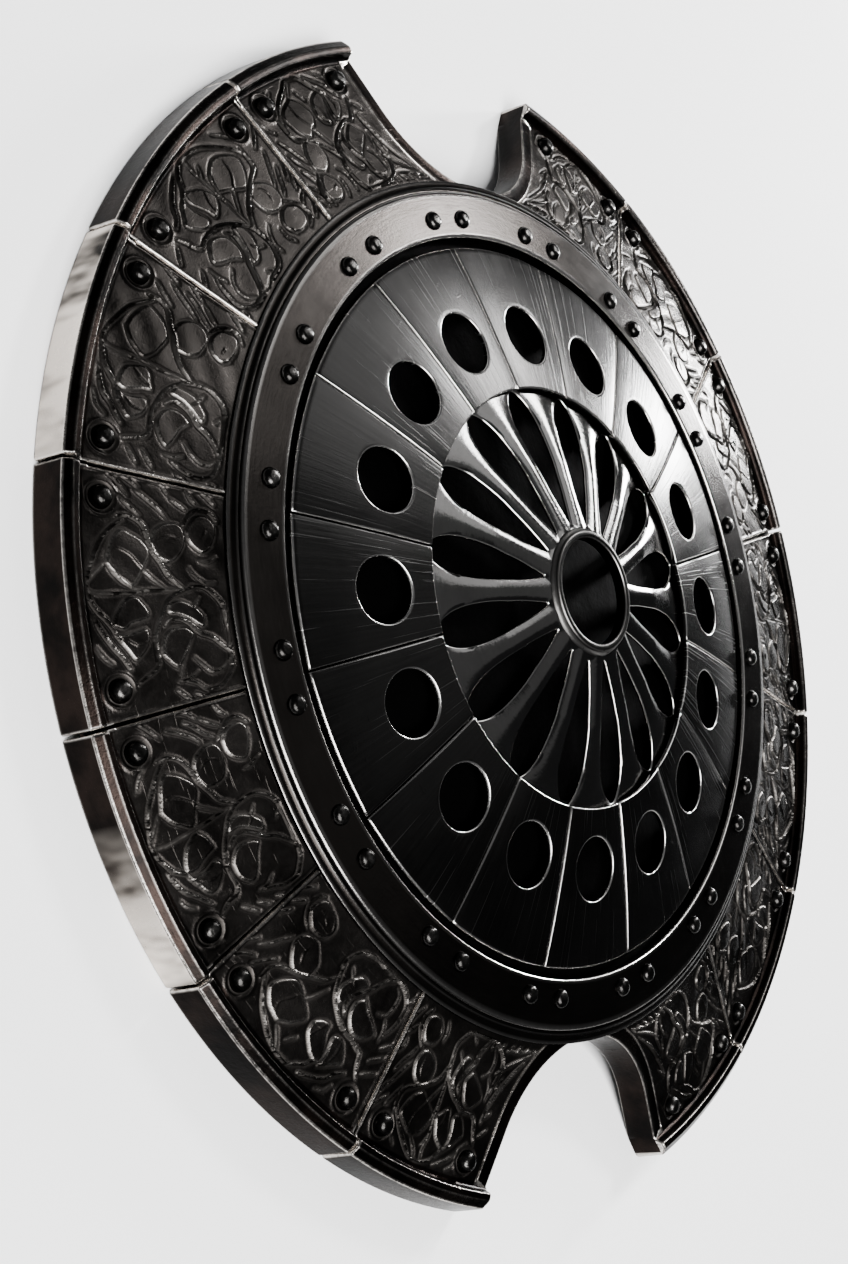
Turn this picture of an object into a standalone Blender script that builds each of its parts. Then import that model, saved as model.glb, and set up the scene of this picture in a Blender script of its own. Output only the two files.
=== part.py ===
"""A round steel targe lying on its back, face up, with the top notch towards +Y.

Fourteen embossed rim plates, a riveted ring, sixteen pierced boss panels and a slotted
rosette with its hub are carried by a dished back shell with one hand grip.
"""

import math

import bmesh
import bpy
from mathutils import Matrix, Vector

# Layout
FIT = 0.0003
SECTORS = 16
PLATE_STEPS = 4
PANEL_STEPS = 2
TURNED_STEPS = 32

# Rim plates
RIM_RADIUS = 0.251
RIM_WALL = 0.0144
RIM_DRAFT = 0.001
BEAD_WIDTH = 0.0087
BEAD_RISE = 0.0026
FIELD_EDGE = 0.0136
FIELD_SLOPE = math.radians(14.3)
PLATE_THICKNESS = 0.003
FLANGE = 0.003
PLATE_JOINT = 0.0006
PLATE_RIVET = 0.0088
PLATE_RIVET_HEIGHT = 0.0034
RIVET_INSET = 0.0080
RIVET_FROM_JOINT = 0.0118

# Notches
NOTCH_RADIUS = 0.056
NOTCH_LAP = 0.002
NOTCH_FLARE = math.radians(27.0)
NOTCH_RIVET = 0.0147
NOTCH_STEPS = 7

# Raised strapwork
RIDGE_WIDTH = 0.0036
RIDGE_HEIGHT = 0.0016
RIDGE_SINK = 0.0009

# Middle ring
RING_WIDTH = 0.026
RING_COVE = 0.0063
RING_EDGE_LIFT = 0.0031
RING_FACE_RISE = 0.0033
TONGUE = 0.0225
TONGUE_RISE = 0.0006
RING_RIVET = 0.0084
RING_RIVET_HEIGHT = 0.0032
RING_RIVET_INSET = 0.008
RING_RIVET_FROM_JOINT = 0.0103

# Boss panels
BOSS_RADIUS = 0.1543
BOSS_GROOVE = 0.0042
BOSS_CROWN = 0.05545
BOSS_CURVE = 0.540
BOSS_INNER = 0.0895
PANEL_THICKNESS = 0.0025
PANEL_GAP = 0.0008
HOLE_INSET = 0.0249
HOLE_DIAMETER = 0.0264
HOLE_STEPS = 12

# Rosette and hub
ROSETTE_LAP = 0.005
ROSETTE_STEP = 0.0004
ROSETTE_MIDDLE = 0.0325
ROSETTE_CONE = 0.0082
ROSETTE_TOP_CONE = 0.0054
ROSETTE_THICKNESS = 0.0025
SLOT_FROM_HUB = 0.0035
SLOT_FROM_STEP = 0.0002
SLOT_WIDTH = 0.016
HUB_RADIUS = 0.0265
HUB_TAPER = 0.0012
HUB_HEIGHT = 0.0026
HUB_HOLE = 0.0225

# Back shell
SHELL_THICKNESS = 0.0025
SHELL_DEPTH = 0.0080
RIDGE_PAD = 0.0055
PAD_SLOPE = 0.0035

# Hand grip
GRIP_SPAN = 0.112
GRIP_FOOT = 0.026
GRIP_WIDTH = 0.022
GRIP_THICKNESS = 0.006
GRIP_LOW = 0.008
GRIP_SHOULDER = 0.018

SECTOR = math.tau / SECTORS
TOP = math.pi / 2
RING_INNER = BOSS_RADIUS + BOSS_GROOVE
RING_OUTER = RING_INNER + RING_WIDTH
RING_RIVET_CIRCLE = RING_INNER + RING_RIVET_INSET
HOLE_CIRCLE = BOSS_INNER + HOLE_INSET
MIDDLE_RADIUS = BOSS_INNER - ROSETTE_MIDDLE
SLOT_INNER = HUB_RADIUS + SLOT_FROM_HUB
SLOT_OUTER = BOSS_INNER - SLOT_FROM_STEP
NOTCH_CENTRE = RING_OUTER - NOTCH_LAP + NOTCH_RADIUS
FIELD_RADIUS = RIM_RADIUS - RIM_DRAFT - BEAD_WIDTH
FLANGE_INNER = RIM_RADIUS - FLANGE
TONGUE_INNER = RING_OUTER - TONGUE
GRIP_INNER = GRIP_SPAN / 2 + GRIP_SHOULDER
GRIP_OUTER = GRIP_INNER + GRIP_FOOT


def field_top(radius):
    """Height of the plates' sloping field."""
    return FIELD_EDGE + (FIELD_RADIUS - radius) * math.tan(FIELD_SLOPE)


def field_under(radius):
    return field_top(radius) - PLATE_THICKNESS


def boss_top(radius):
    """Height of the shallow dome that the boss panels follow."""
    return BOSS_CROWN - radius**2 / (2 * BOSS_CURVE)


def boss_under(radius):
    return boss_top(radius) - PANEL_THICKNESS


ROSETTE_RIM = boss_under(BOSS_INNER) - ROSETTE_STEP
ROSETTE_MIDDLE_TOP = ROSETTE_RIM + ROSETTE_CONE
ROSETTE_TOP = ROSETTE_MIDDLE_TOP + ROSETTE_TOP_CONE
HUB_FRONT = ROSETTE_TOP + HUB_HEIGHT


TONGUE_TOP = field_top(RING_OUTER) + TONGUE_RISE
LAP_TOP = boss_under(BOSS_INNER + ROSETTE_LAP) - FIT


def polar(radius, angle, height):
    return Vector((radius * math.cos(angle), radius * math.sin(angle), height))


def helper(name, shape):
    """An object made of a bmesh, with its faces pointing out."""
    bmesh.ops.recalc_face_normals(shape, faces=shape.faces[:])
    mesh = bpy.data.meshes.new(name)
    shape.to_mesh(mesh)
    shape.free()
    thing = bpy.data.objects.new(name, mesh)
    bpy.context.scene.collection.objects.link(thing)
    return thing


def combine(base, tool, operation, overlapping=False):
    """A Boolean of two helpers, applied: base keeps the result and tool goes."""
    modifier = base.modifiers.new(operation.title(), "BOOLEAN")
    modifier.operation = operation
    modifier.object = tool
    modifier.use_self = overlapping
    graph = bpy.context.evaluated_depsgraph_get()
    result = bpy.data.meshes.new_from_object(base.evaluated_get(graph))
    base.modifiers.clear()
    base.data = result
    bpy.data.objects.remove(tool)
    return base


def swept(name, profile, start, end, steps):
    """A closed (radius, height) outline turned through a part of the circle."""
    shape = bmesh.new()
    shape.faces.new([shape.verts.new(polar(r, start, z)) for r, z in profile])
    bmesh.ops.spin(
        shape,
        geom=shape.verts[:] + shape.edges[:] + shape.faces[:],
        axis=(0, 0, 1),
        angle=end - start,
        steps=steps,
    )
    return helper(name, shape)


def turned(name, profile, steps, start, ring=True):
    """An outline turned the whole way: a ring, or a disc whose outline ends on the axis."""
    shape = bmesh.new()
    points = [shape.verts.new(polar(r, start, z)) for r, z in profile]
    for a, b in zip(points, points[1:]):
        shape.edges.new((a, b))
    if ring:
        shape.edges.new((points[-1], points[0]))
    bmesh.ops.spin(
        shape,
        geom=shape.verts[:] + shape.edges[:],
        axis=(0, 0, 1),
        angle=math.tau,
        steps=steps,
        use_merge=True,
    )
    bmesh.ops.remove_doubles(shape, verts=shape.verts[:], dist=1e-6)
    return helper(name, shape)


def loft(shape, sections):
    """A bar through like sections: the first is a face, drawn on to each of the others."""
    first = end = shape.faces.new([shape.verts.new(point) for point in sections[0]])
    for section in sections[1:]:
        drawn = bmesh.ops.extrude_face_region(shape, geom=[end])
        if end is not first:
            shape.faces.remove(end)
        end = next(item for item in drawn["geom"] if isinstance(item, bmesh.types.BMFace))
        for vert, point in zip(end.verts, section):
            vert.co = point


def prism(name, outline, low, high):
    shape = bmesh.new()
    loft(shape, [[Vector((x, y, z)) for x, y in outline] for z in (low, high)])
    return helper(name, shape)


def dome(shape, place, radius, height, sink, steps):
    """A rivet's head: a short frustum with a smaller flat crown, sunk in what it holds."""
    sections = []
    for level, share in ((-sink, 1.0), (height, 0.5)):
        sections.append(
            [
                place + Vector((share * radius * math.cos(a), share * radius * math.sin(a), level))
                for a in (math.tau * k / steps for k in range(steps))
            ]
        )
    loft(shape, sections)


def smooth_path(points, steps):
    """A Catmull-Rom curve through chosen points, as steps + 1 points."""
    ends = [2 * points[0] - points[1]] + points + [2 * points[-1] - points[-2]]
    path = []
    for k in range(steps + 1):
        at = k * (len(points) - 1) / steps
        i = min(int(at), len(points) - 2)
        t = at - i
        a, b, c, d = ends[i : i + 4]
        path.append(
            0.5
            * (
                2 * b
                + (c - a) * t
                + (2 * a - 5 * b + 4 * c - d) * t**2
                + (3 * b - a - 3 * c + d) * t**3
            )
        )
    return path


def ridge(shape, points, steps, mirrored=None, scale=1.0):
    """A raised line on the plate field, through (degrees, radius) points, low at both ends."""
    if mirrored is not None:
        points = [(2 * mirrored - degrees, radius) for degrees, radius in points]
    path = smooth_path([Vector(point) for point in points], steps)
    sections = []
    for k, point in enumerate(path):
        before, after = path[max(k - 1, 0)], path[min(k + 1, steps)]
        angle, radius = math.radians(point.x), point.y
        along = Vector((math.radians(after.x - before.x) * radius, after.y - before.y))
        side = Vector((-along.y, along.x)).normalized() * RIDGE_WIDTH * scale / 2
        if k in (0, steps):
            side *= 0.5
        left = (angle + side.x / radius, radius + side.y)
        right = (angle - side.x / radius, radius - side.y)
        crown = RIDGE_HEIGHT * scale * (0.45 if k in (0, steps) else 1.0)
        sections.append(
            [
                polar(left[1], left[0], field_top(left[1]) - RIDGE_SINK),
                polar(right[1], right[0], field_top(right[1]) - RIDGE_SINK),
                polar(radius, angle, field_top(radius) + crown),
            ]
        )
    loft(shape, sections)


def leaf(shape, outline, rib, mirrored=None):
    """A raised leaf of flat facets: an outline on the field and the two ends of its rib."""
    if mirrored is not None:
        outline, rib = (
            [(2 * mirrored - degrees, radius) for degrees, radius in line] for line in (outline, rib)
        )
    points = [(r, d, field_top(r) - RIDGE_SINK) for d, r in outline]
    points += [(r, d, field_top(r) + RIDGE_HEIGHT) for d, r in rib]
    corners = [shape.verts.new(polar(r, math.radians(d), z)) for r, d, z in points]
    hull = bmesh.ops.convex_hull(shape, input=corners)
    spare = [item for item in hull["geom_interior"] + hull["geom_unused"] if item.is_valid]
    bmesh.ops.delete(shape, geom=[v for v in spare if isinstance(v, bmesh.types.BMVert)])


def notch_outline(offset):
    """The notch about +Y, grown by an offset: a round bottom and two flared sides."""
    radius = NOTCH_RADIUS + offset
    reach = (RIM_RADIUS * 1.1 - NOTCH_CENTRE + radius * math.sin(NOTCH_FLARE)) / math.cos(NOTCH_FLARE)
    side = []
    for k in range(NOTCH_STEPS + 1):
        a = NOTCH_FLARE + (math.pi / 2 - NOTCH_FLARE) * k / NOTCH_STEPS
        side.append((radius * math.cos(a), NOTCH_CENTRE - radius * math.sin(a)))
    x, y = side[0]
    side.insert(0, (x + reach * math.sin(NOTCH_FLARE), y + reach * math.cos(NOTCH_FLARE)))
    return side + [(-x, y) for x, y in reversed(side[:-1])]


def notch_tool(name, offset):
    return prism(name, notch_outline(offset), -RIM_WALL, HUB_FRONT)


def plate_top():
    """The plate's outline from the foot of its rim to the end of its tongue."""
    edge = RIM_RADIUS - RIM_DRAFT
    return [
        (RIM_RADIUS, 0),
        (edge, RIM_WALL),
        (edge - 0.35 * BEAD_WIDTH, RIM_WALL + BEAD_RISE),
        (edge - 0.75 * BEAD_WIDTH, RIM_WALL + BEAD_RISE),
        (FIELD_RADIUS, FIELD_EDGE),
        (RING_OUTER, field_top(RING_OUTER)),
        (TONGUE_INNER, TONGUE_TOP),
    ]


def part_from_joint(thing, angle):
    """Draws the plate's end faces back from the joint planes by half the joint's width."""
    for sign, at in ((1, 0), (-1, angle)):
        normal = Vector((-math.sin(at), math.cos(at), 0)) * sign
        for vert in thing.data.vertices:
            if abs(vert.co.dot(normal)) < 1e-5:
                vert.co += normal * PLATE_JOINT / 2


def rivet_place(angle):
    radius = FIELD_RADIUS - RIVET_INSET
    return polar(radius, angle, field_top(radius))


def plate_rivets(shape, angles):
    for angle in angles:
        dome(shape, rivet_place(angle), PLATE_RIVET / 2, PLATE_RIVET_HEIGHT, PLATE_THICKNESS / 2, 6)


def on_field(start, line):
    """Points given in degrees from a start and as shares of the field's depth from the rim."""
    depth = FIELD_RADIUS - RING_OUTER
    return [(start + degrees, FIELD_RADIUS - share * depth) for degrees, share in line]


def whole_plate():
    """A plate of one sector, from angle 0 to SECTOR."""
    under = [
        (TONGUE_INNER, TONGUE_TOP - PLATE_THICKNESS),
        (RING_OUTER, field_under(RING_OUTER)),
        (FLANGE_INNER, field_under(FLANGE_INNER)),
        (FLANGE_INNER, 0),
    ]
    plate = swept("plate", plate_top() + under, 0, SECTOR, PLATE_STEPS)
    part_from_joint(plate, SECTOR)
    middle = math.degrees(SECTOR) / 2
    shape = bmesh.new()
    arch = [(-7.9, 0.32), (-6.4, 0.18), (-3.0, 0.06), (0, 0.02)]
    arch += [(-degrees, share) for degrees, share in reversed(arch[:-1])]
    ridge(shape, on_field(middle, arch), 4)
    lobe = [(0.5, 0.33), (2.2, 0.19), (5.0, 0.22), (5.7, 0.32), (3.8, 0.46), (0.5, 0.59)]
    lobe_rib = [(3.4, 0.28), (1.6, 0.47)]
    curl = [(3.4, 0.60), (6.9, 0.53), (9.0, 0.67), (8.4, 0.88), (5.4, 0.79)]
    curl_rib = [(6.8, 0.63), (7.4, 0.77)]
    scroll = [(8.0, 0.29), (6.4, 0.46), (1.9, 0.58), (0.8, 0.77), (2.8, 0.97)]
    for mirrored in (None, middle):
        for outline, rib in ((lobe, lobe_rib), (curl, curl_rib)):
            leaf(shape, on_field(middle, outline), on_field(middle, rib), mirrored)
        ridge(shape, on_field(middle, scroll), 3, mirrored)
    plate_rivets(shape, [RIVET_FROM_JOINT / RIM_RADIUS, SECTOR - RIVET_FROM_JOINT / RIM_RADIUS])
    return combine(plate, helper("strapwork", shape), "UNION", overlapping=True)


def notch_angle(radius):
    """Angle from the notch's middle line to its side, at this radius."""
    height = (radius**2 + NOTCH_CENTRE**2 - NOTCH_RADIUS**2) / (2 * NOTCH_CENTRE)
    if height < NOTCH_CENTRE - NOTCH_RADIUS * math.sin(NOTCH_FLARE):
        return math.acos(min(1, height / radius))
    return NOTCH_FLARE + math.asin((NOTCH_RADIUS - NOTCH_CENTRE * math.sin(NOTCH_FLARE)) / radius)


def beside_notch(line):
    """Points given as shares of the way from the notch to the joint, and of the field's depth."""
    points = []
    for across, share in line:
        radius = FIELD_RADIUS - share * (FIELD_RADIUS - RING_OUTER)
        edge = notch_angle(radius)
        points.append((math.degrees(TOP + edge + across * (1.5 * SECTOR - edge)), radius))
    return points


def trimmed_plate():
    """The plate beside the top notch, from the notch's middle line to the next joint.

    It lies from angle TOP to TOP + 1.5 SECTOR, and its wall follows the notch.
    """
    wide = 1.5 * SECTOR
    floor = [
        (TONGUE_INNER, field_top(RING_OUTER) - RIM_WALL),
        (RING_OUTER, field_top(RING_OUTER) - RIM_WALL),
        (FLANGE_INNER, 0),
    ]
    plate = swept("plate", plate_top() + floor, 0, wide, PLATE_STEPS * 3 // 2)
    part_from_joint(plate, wide)
    hollow = swept(
        "hollow",
        [
            (TONGUE_INNER - FLANGE, TONGUE_TOP - PLATE_THICKNESS),
            (RING_OUTER, field_under(RING_OUTER)),
            (FLANGE_INNER, field_under(FLANGE_INNER)),
            (FLANGE_INNER, -RIM_WALL),
            (TONGUE_INNER - FLANGE, -RIM_WALL),
        ],
        -SECTOR / 4,
        wide + SECTOR / 4,
        PLATE_STEPS * 2,
    )
    for thing in (plate, hollow):
        thing.data.transform(Matrix.Rotation(TOP, 4, "Z"))
    combine(hollow, notch_tool("wall", FLANGE), "DIFFERENCE")
    combine(plate, hollow, "DIFFERENCE")
    combine(plate, notch_tool("notch", 0), "DIFFERENCE")
    shape = bmesh.new()
    lines = (
        ([(0.34, 0.29), (0.39, 0.15), (0.53, 0.03), (0.70, 0.14), (0.78, 0.29)], 4),
        ([(0.82, 0.31), (0.72, 0.44), (0.57, 0.56), (0.59, 0.76), (0.74, 0.96)], 3),
        ([(0.17, 0.60), (0.36, 0.70), (0.41, 0.86), (0.28, 0.96)], 2),
    )
    for line, steps in lines:
        ridge(shape, beside_notch(line), steps)
    leaves = (
        ([(0.38, 0.42), (0.43, 0.25), (0.63, 0.26), (0.65, 0.39), (0.47, 0.55)],
         [(0.55, 0.32), (0.48, 0.46)]),
        ([(0.70, 0.65), (0.81, 0.55), (0.91, 0.69), (0.89, 0.90), (0.78, 0.83)],
         [(0.81, 0.65), (0.84, 0.79)]),
        ([(0.43, 0.74), (0.51, 0.70), (0.57, 0.88), (0.51, 0.92)],
         [(0.49, 0.77), (0.53, 0.86)]),
    )
    for outline, rib in leaves:
        leaf(shape, beside_notch(outline), beside_notch(rib))
    rivet_circle = FIELD_RADIUS - RIVET_INSET
    beside = TOP + notch_angle(rivet_circle) + NOTCH_RIVET / rivet_circle
    plate_rivets(shape, [beside, TOP + wide - RIVET_FROM_JOINT / RIM_RADIUS])
    return combine(plate, helper("strapwork", shape), "UNION", overlapping=True)


def placed(name, mesh, turn, finish, mirrored=False):
    """A node of its own: a copy of a mesh turned to its place about the axis."""
    copy = mesh.copy()
    if mirrored:
        copy.transform(Matrix.Scale(-1, 4, (1, 0, 0)))
        copy.flip_normals()
    return node(name, copy, Matrix.Rotation(turn, 4, "Z"), finish)


def node(name, mesh, place, finish):
    mesh.materials.clear()
    mesh.materials.append(material(name, *finish))
    mesh.shade_smooth()
    mesh.set_sharp_from_angle(angle=math.radians(28))
    thing = bpy.data.objects.new(name, mesh)
    thing.matrix_world = place
    bpy.context.scene.collection.objects.link(thing)
    return thing


def material(name, colour, roughness):
    finish = bpy.data.materials.new(name)
    finish.use_nodes = True
    shader = finish.node_tree.nodes["Principled BSDF"]
    shader.inputs["Base Color"].default_value = (*colour, 1)
    shader.inputs["Roughness"].default_value = roughness
    shader.inputs["Metallic"].default_value = 1
    return finish


BLACK_STEEL = ((0.10, 0.10, 0.11), 0.38)
BRUSHED_STEEL = ((0.16, 0.16, 0.17), 0.32)
BACK_STEEL = ((0.07, 0.07, 0.07), 0.55)


def rim_plates():
    whole = whole_plate()
    trimmed = trimmed_plate()
    number = 0
    for half in (0, 1):
        turn = half * math.pi
        number += 1
        placed(f"rim_plate_{number:02d}", trimmed.data, turn, BLACK_STEEL)
        for k in range(SECTORS // 2 - 3):
            number += 1
            start = TOP + 1.5 * SECTOR + k * SECTOR + turn
            placed(f"rim_plate_{number:02d}", whole.data, start, BLACK_STEEL)
        number += 1
        last = turn + math.pi
        placed(f"rim_plate_{number:02d}", trimmed.data, last, BLACK_STEEL, mirrored=True)
    for pattern in (whole, trimmed):
        bpy.data.objects.remove(pattern)


def middle_ring():
    edge = RING_OUTER - RING_COVE
    skirt = field_top(RING_OUTER) + FIT
    bottom = TONGUE_TOP + FIT
    face = bottom + RING_EDGE_LIFT - FIT
    rise = RING_FACE_RISE
    profile = [
        (RING_OUTER, skirt),
        (edge + 0.35 * RING_COVE, bottom + 0.35 * RING_EDGE_LIFT),
        (edge, face),
        (RING_INNER + 0.1 * RING_COVE, face + rise),
        (RING_INNER, face + 0.85 * rise),
        (RING_INNER, bottom),
        (TONGUE_INNER, bottom),
    ]
    ring = turned("ring", profile, TURNED_STEPS, TOP + SECTOR / 2)
    shape = bmesh.new()
    slope = rise / (edge - RING_INNER)
    height = face + (edge - RING_RIVET_CIRCLE) * slope
    aside = RING_RIVET_FROM_JOINT / RING_RIVET_CIRCLE
    for k in range(SECTORS):
        for sign in (1, -1):
            place = polar(RING_RIVET_CIRCLE, TOP + (k + 0.5) * SECTOR + sign * aside, height)
            dome(shape, place, RING_RIVET / 2, RING_RIVET_HEIGHT, RING_EDGE_LIFT / 2, 5)
    combine(ring, helper("rivets", shape), "UNION")
    node("middle_ring", ring.data, Matrix(), BLACK_STEEL)
    bpy.data.objects.remove(ring)


def boss_panels():
    radii = [BOSS_INNER + (BOSS_RADIUS - BOSS_INNER) * share for share in (0, 0.5, 1)]
    profile = [(r, boss_top(r)) for r in reversed(radii)] + [(r, boss_under(r)) for r in radii]
    panel = swept("panel", profile, -SECTOR / 2, SECTOR / 2, PANEL_STEPS)
    for sign in (1, -1):
        normal = Vector((math.sin(SECTOR / 2), sign * math.cos(SECTOR / 2), 0))
        for vert in panel.data.vertices:
            if abs(vert.co.dot(normal)) < 1e-5:
                vert.co += normal * PANEL_GAP / 2
    hole = bmesh.new()
    bmesh.ops.create_cone(
        hole,
        cap_ends=True,
        segments=HOLE_STEPS,
        radius1=HOLE_DIAMETER / 2,
        radius2=HOLE_DIAMETER / 2,
        depth=8 * PANEL_THICKNESS,
        matrix=Matrix.Translation((HOLE_CIRCLE, 0, boss_top(HOLE_CIRCLE)))
        @ Matrix.Rotation(math.atan(HOLE_CIRCLE / BOSS_CURVE), 4, "Y"),
    )
    combine(panel, helper("hole", hole), "DIFFERENCE")
    for k in range(SECTORS):
        placed(f"boss_panel_{k + 1:02d}", panel.data, TOP + k * SECTOR, BRUSHED_STEEL)
    bpy.data.objects.remove(panel)


def slot_outline(angle):
    """A petal that is widest towards its outer end, about a line at this angle."""
    outline = []
    for share, width in ((0, 0.08), (0.3, 0.56), (0.7, 1.0), (0.92, 0.68), (1, 0.1)):
        radius = SLOT_INNER + share * (SLOT_OUTER - SLOT_INNER)
        outline.append((radius, width * SLOT_WIDTH / 2))
    outline += [(radius, -half) for radius, half in reversed(outline)]
    along = Vector((math.cos(angle), math.sin(angle)))
    across = Vector((-along.y, along.x))
    return [along * radius + across * half for radius, half in outline]


def rosette():
    thick = ROSETTE_THICKNESS
    outer = BOSS_INNER + ROSETTE_LAP
    profile = [
        (outer, LAP_TOP),
        (BOSS_INNER, ROSETTE_RIM - FIT / 2),
        (MIDDLE_RADIUS, ROSETTE_MIDDLE_TOP),
        (HUB_RADIUS, ROSETTE_TOP),
        (HUB_RADIUS - HUB_TAPER, HUB_FRONT),
        (HUB_HOLE, HUB_FRONT),
        (HUB_HOLE, ROSETTE_TOP - thick),
        (outer, LAP_TOP - thick),
    ]
    disc = turned("disc", profile, TURNED_STEPS, TOP + SECTOR / 2)
    shape = bmesh.new()
    for k in range(SECTORS):
        outline = slot_outline(TOP + (k + 0.5) * SECTOR)
        levels = (ROSETTE_RIM - 4 * thick, HUB_FRONT)
        loft(shape, [[Vector((x, y, z)) for x, y in outline] for z in levels])
    combine(disc, helper("slots", shape), "DIFFERENCE")
    node("rosette", disc.data, Matrix(), BLACK_STEEL)
    bpy.data.objects.remove(disc)


def shell_inner_top(radius):
    """The shell's face under the boss and the rosette, clear of both."""
    return boss_top(radius) - SHELL_DEPTH


def shell_under(radius):
    if radius >= TONGUE_INNER:
        return min(field_under(radius), TONGUE_TOP - PLATE_THICKNESS) - FIT - SHELL_THICKNESS
    return shell_inner_top(radius) - SHELL_THICKNESS


def back_shell():
    outer = FLANGE_INNER - FIT
    pad = BOSS_RADIUS + FIT
    lap = BOSS_INNER + ROSETTE_LAP
    seat = LAP_TOP - ROSETTE_THICKNESS - FIT
    top = [
        (outer, field_under(outer) - FIT),
        (RING_OUTER, field_under(RING_OUTER) - FIT),
        (TONGUE_INNER - FIT, TONGUE_TOP - PLATE_THICKNESS - FIT),
        (pad, boss_under(BOSS_RADIUS) - FIT),
        (pad - RIDGE_PAD, boss_under(pad - RIDGE_PAD) - FIT),
        (pad - RIDGE_PAD - PAD_SLOPE, shell_inner_top(pad - RIDGE_PAD - PAD_SLOPE)),
        (lap + PAD_SLOPE, shell_inner_top(lap + PAD_SLOPE)),
        (lap + FIT, seat),
        (lap - RIDGE_PAD, seat),
        (lap - RIDGE_PAD - PAD_SLOPE, shell_inner_top(lap)),
        (HUB_RADIUS, shell_inner_top(HUB_RADIUS)),
        (0, shell_inner_top(0)),
    ]
    radii = (0, GRIP_INNER, GRIP_OUTER, pad - RIDGE_PAD)
    under = [(r, shell_under(r)) for r in radii + (TONGUE_INNER, RING_OUTER, outer)]
    shell = turned("shell", top + under + top[:1], TURNED_STEPS, TOP + SECTOR / 2, ring=False)
    for turn in (0, math.pi):
        notch = notch_tool("notch", FLANGE + FIT)
        notch.data.transform(Matrix.Rotation(turn, 4, "Z"))
        combine(shell, notch, "DIFFERENCE")
    node("back_shell", shell.data, Matrix(), BACK_STEEL)
    bpy.data.objects.remove(shell)


def hand_grip():
    """A flat bar across the hollow of the back, with a foot against the shell at each end."""
    half = GRIP_SPAN / 2
    bar = GRIP_LOW + GRIP_THICKNESS / 2
    inset = 2 * FIT + GRIP_THICKNESS / 2
    route = [
        Vector((GRIP_OUTER, shell_under(GRIP_OUTER) - inset)),
        Vector((GRIP_INNER, shell_under(GRIP_INNER) - inset)),
        Vector((half, bar + 0.5 * GRIP_SHOULDER)),
        Vector((half - 0.6 * GRIP_SHOULDER, bar)),
    ]
    route += [Vector((-point.x, point.y)) for point in reversed(route)]
    sections = []
    for k, point in enumerate(route):
        before = route[max(k - 1, 0)]
        after = route[min(k + 1, len(route) - 1)]
        legs = [leg.normalized() for leg in (point - before, after - point) if leg.length]
        along = sum(legs, Vector((0, 0))).normalized()
        thick = GRIP_THICKNESS / 2 / along.dot(legs[0])
        up = Vector((along.y, -along.x)) * thick
        sections.append(
            [
                Vector((point.x + sx * up.x, sy * GRIP_WIDTH / 2, point.y + sx * up.y))
                for sx, sy in ((1, 1), (1, -1), (-1, -1), (-1, 1))
            ]
        )
    shape = bmesh.new()
    loft(shape, sections)
    grip = helper("grip", shape)
    node("hand_grip", grip.data, Matrix(), BACK_STEEL)
    bpy.data.objects.remove(grip)


def main():
    for thing in list(bpy.data.objects):
        bpy.data.objects.remove(thing)
    rim_plates()
    middle_ring()
    boss_panels()
    rosette()
    back_shell()
    hand_grip()


main()
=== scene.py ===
import math

import bmesh
import bpy
import numpy as np
from mathutils import Matrix, Vector


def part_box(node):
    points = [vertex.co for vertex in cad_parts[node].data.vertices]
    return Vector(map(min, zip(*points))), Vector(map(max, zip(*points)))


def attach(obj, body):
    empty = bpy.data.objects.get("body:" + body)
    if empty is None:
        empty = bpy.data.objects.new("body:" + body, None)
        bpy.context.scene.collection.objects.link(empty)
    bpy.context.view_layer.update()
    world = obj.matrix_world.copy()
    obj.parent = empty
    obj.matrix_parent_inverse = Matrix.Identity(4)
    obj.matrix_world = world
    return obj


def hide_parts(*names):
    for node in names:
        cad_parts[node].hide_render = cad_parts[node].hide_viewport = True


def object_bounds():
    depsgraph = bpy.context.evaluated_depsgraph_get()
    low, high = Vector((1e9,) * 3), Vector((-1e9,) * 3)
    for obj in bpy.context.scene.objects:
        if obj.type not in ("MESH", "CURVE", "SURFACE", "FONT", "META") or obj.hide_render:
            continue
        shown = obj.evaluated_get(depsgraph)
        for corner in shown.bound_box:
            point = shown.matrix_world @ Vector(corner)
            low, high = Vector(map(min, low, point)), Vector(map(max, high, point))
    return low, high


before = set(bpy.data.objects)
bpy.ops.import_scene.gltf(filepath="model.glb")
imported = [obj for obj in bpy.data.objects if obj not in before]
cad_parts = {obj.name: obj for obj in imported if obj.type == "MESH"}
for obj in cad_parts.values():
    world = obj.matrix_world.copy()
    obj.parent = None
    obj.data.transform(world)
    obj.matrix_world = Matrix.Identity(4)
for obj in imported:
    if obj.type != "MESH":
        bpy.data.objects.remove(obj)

cad_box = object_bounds()

# Sizes in millimetres, angles in degrees from +X
MM = 0.001
SECTORS = 16
SECTOR = 360 / SECTORS
TOP = 90.0
PLATE_GAP = 1.2
# Half a joint between two plates, in degrees at the middle of their field
HALF_GAP = math.degrees(PLATE_GAP / 2 / 210)

RIM_RADIUS = cad_box[1][0] / MM
FIELD_RADIUS = RIM_RADIUS - 9.7
FIELD_EDGE = 13.6
FIELD_SLOPE = math.tan(math.radians(14.3))
FIELD_SINK = 0.35
# Where the rim's upright wall ends below its bead
WALL_TOP = 14.3
PLATE_THICKNESS = 3.0
# How thick the walls along the rim and the notches are
WALL_THICKNESS = 3.0
# The spacing of a plate's mesh, and the steps and drops of its rounded sides
CELL = 0.52
EDGE_STEPS = (0.0, 0.3, 0.65, 1.1)
EDGE_DROPS = (0.85, 0.4, 0.08, 0.0)

NOTCH_RADIUS = 56.0
NOTCH_CENTRE = 238.5
NOTCH_FLARE = math.radians(27.0)
NOTCH_BORDER = 7.0

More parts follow.
